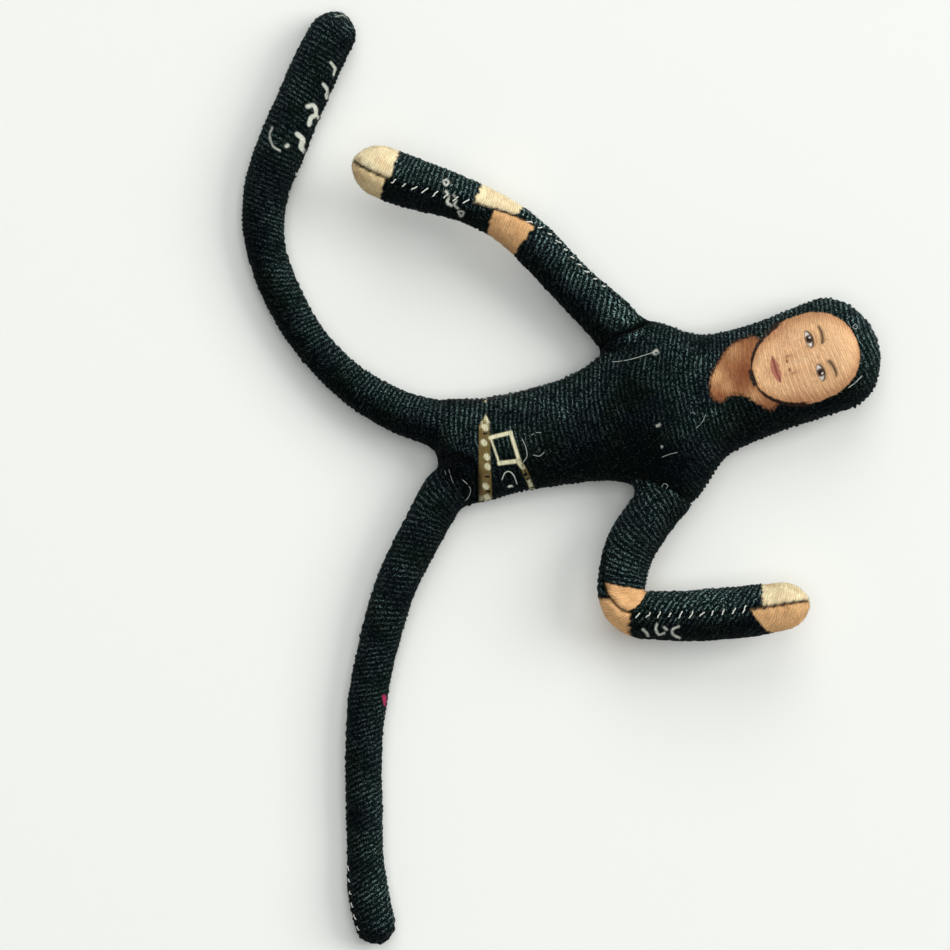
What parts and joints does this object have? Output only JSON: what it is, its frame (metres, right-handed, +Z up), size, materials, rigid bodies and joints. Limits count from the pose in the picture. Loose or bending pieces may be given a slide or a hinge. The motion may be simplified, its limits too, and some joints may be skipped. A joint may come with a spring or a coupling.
{
  "type": "bendable plush doll",
  "caption": "Slim knitted plush doll with a wire armature, lying on its back, with a hooded printed face, belt, and arms and legs that bend and stay where they are put.",
  "frame": {"origin": "on the flat of the chest's back panel, under the middle of the chest, in the plane that the doll lies on", "axes": "+Z up out of the doll's front, +X roughly from the hips to the head, +Y towards the doll's right arm"},
  "size_m": [0.1529, 0.2237, 0.0233],
  "materials": {
    "black_knit": "fuzzy black rib knit",
    "fibre_core": "dark lining over packed fibre",
    "fibre_fill": "loose white polyester fibre",
    "armature_wire": "soft galvanised wire"
  },
  "bodies": {
    "chest": {"chest_front_panel": "black_knit", "chest_back_panel": "black_knit", "chest_stuffing": "fibre_fill", "chest_spine_wire": "armature_wire", "chest_arm_wire": "armature_wire"},
    "waist": {"waist_ball": "fibre_core"},
    "hips": {"hips_front_panel": "black_knit", "hips_back_panel": "black_knit", "hips_stuffing": "fibre_fill", "hips_spine_wire": "armature_wire", "hips_leg_wire": "armature_wire"},
    "neck": {"neck_ball": "fibre_core"},
    "head": {"head_front_panel": "black_knit", "head_back_panel": "black_knit", "head_stuffing": "fibre_fill", "head_spine_wire": "armature_wire"},
    "right_shoulder": {"right_shoulder_ball": "fibre_core"},
    "right_upper_arm": {"right_upper_arm_front_panel": "black_knit", "right_upper_arm_back_panel": "black_knit", "right_upper_arm_stuffing": "fibre_fill", "right_upper_arm_wire": "armature_wire", "right_elbow_ball": "fibre_core"},
    "right_forearm": {"right_forearm_front_panel": "black_knit", "right_forearm_back_panel": "black_knit", "right_forearm_stuffing": "fibre_fill", "right_forearm_wire": "armature_wire"},
    "right_hip": {"right_hip_ball": "fibre_core"},
    "right_thigh": {"right_thigh_front_panel": "black_knit", "right_thigh_back_panel": "black_knit", "right_thigh_stuffing": "fibre_fill", "right_thigh_wire": "armature_wire", "right_knee_ball": "fibre_core"},
    "right_shin": {"right_shin_front_panel": "black_knit", "right_shin_back_panel": "black_knit", "right_shin_stuffing": "fibre_fill", "right_shin_wire": "armature_wire"},
    "left_shoulder": {"left_shoulder_ball": "fibre_core"},
    "left_upper_arm": {"left_upper_arm_front_panel": "black_knit", "left_upper_arm_back_panel": "black_knit", "left_upper_arm_stuffing": "fibre_fill", "left_upper_arm_wire": "armature_wire", "left_elbow_ball": "fibre_core"},
    "left_forearm": {"left_forearm_front_panel": "black_knit", "left_forearm_back_panel": "black_knit", "left_forearm_stuffing": "fibre_fill", "left_forearm_wire": "armature_wire"},
    "left_hip": {"left_hip_ball": "fibre_core"},
    "left_thigh": {"left_thigh_front_panel": "black_knit", "left_thigh_back_panel": "black_knit", "left_thigh_stuffing": "fibre_fill", "left_thigh_wire": "armature_wire", "left_knee_ball": "fibre_core"},
    "left_shin": {"left_shin_front_panel": "black_knit", "left_shin_back_panel": "black_knit", "left_shin_stuffing": "fibre_fill", "left_shin_wire": "armature_wire"}
  },
  "joints": [
    {"name": "waist_tilt", "type": "hinge", "parent": "chest", "child": "waist", "pos_m": [-0.02741, -0.0071, 0.007], "axis": [0, 0, 1], "range_deg": [-18, 18]},
    {"name": "waist_bend", "type": "hinge", "parent": "waist", "child": "hips", "pos_m": [-0.02741, -0.0071, 0.007], "axis": [-0.2164, 0.9763, 0], "range_deg": [-18, 18]},
    {"name": "neck_tilt", "type": "hinge", "parent": "chest", "child": "neck", "pos_m": [0.0197, 0.00539, 0.0077], "axis": [0, 0, 1], "range_deg": [-18, 18]},
    {"name": "neck_nod", "type": "hinge", "parent": "neck", "child": "head", "pos_m": [0.0197, 0.00539, 0.0077], "axis": [-0.2164, 0.9763, 0], "range_deg": [-18, 18]},
    {"name": "right_shoulder_swing", "type": "hinge", "parent": "chest", "child": "right_shoulder", "pos_m": [-0.00599, 0.01731, 0.007], "axis": [0, 0, 1], "range_deg": [-60, 30]},
    {"name": "right_shoulder_raise", "type": "hinge", "parent": "right_shoulder", "child": "right_upper_arm", "pos_m": [-0.00599, 0.01731, 0.007], "axis": [0.7771, 0.6293, 0], "range_deg": [-30, 80]},
    {"name": "right_elbow_fold", "type": "hinge", "parent": "right_upper_arm", "child": "right_forearm", "pos_m": [-0.03373, 0.04521, 0.012], "axis": [0, 0, -1], "range_deg": [-70, 70]},
    {"name": "right_hip_swing", "type": "hinge", "parent": "hips", "child": "right_hip", "pos_m": [-0.05108, -0.00293, 0.0063], "axis": [0, 0, 1], "range_deg": [-45, 28]},
    {"name": "right_hip_raise", "type": "hinge", "parent": "right_hip", "child": "right_thigh", "pos_m": [-0.05108, -0.00293, 0.0063], "axis": [0.309, 0.9511, 0], "range_deg": [-30, 80]},
    {"name": "right_knee_fold", "type": "hinge", "parent": "right_thigh", "child": "right_shin", "pos_m": [-0.0917, 0.03671, 0.004], "axis": [0, 0, -1], "range_deg": [-70, 45]},
    {"name": "left_shoulder_swing", "type": "hinge", "parent": "chest", "child": "left_shoulder", "pos_m": [0.00359, -0.01989, 0.007], "axis": [0, 0, 1], "range_deg": [-20, 35]},
    {"name": "left_shoulder_raise", "type": "hinge", "parent": "left_shoulder", "child": "left_upper_arm", "pos_m": [0.00359, -0.01989, 0.007], "axis": [-0.8387, 0.5446, 0], "range_deg": [-30, 80]},
    {"name": "left_elbow_fold", "type": "hinge", "parent": "left_upper_arm", "child": "left_forearm", "pos_m": [-0.00714, -0.04338, 0.011], "axis": [0, 0, -1], "range_deg": [-15, 70]},
    {"name": "left_hip_swing", "type": "hinge", "parent": "hips", "child": "left_hip", "pos_m": [-0.04819, -0.01734, 0.0063], "axis": [0, 0, 1], "range_deg": [-27, 33]},
    {"name": "left_hip_raise", "type": "hinge", "parent": "left_hip", "child": "left_thigh", "pos_m": [-0.04819, -0.01734, 0.0063], "axis": [-0.866, 0.5, 0], "range_deg": [-30, 80]},
    {"name": "left_knee_fold", "type": "hinge", "parent": "left_thigh", "child": "left_shin", "pos_m": [-0.06813, -0.06844, 0.004], "axis": [0, 0, -1], "range_deg": [-70, 70]}
  ]
}
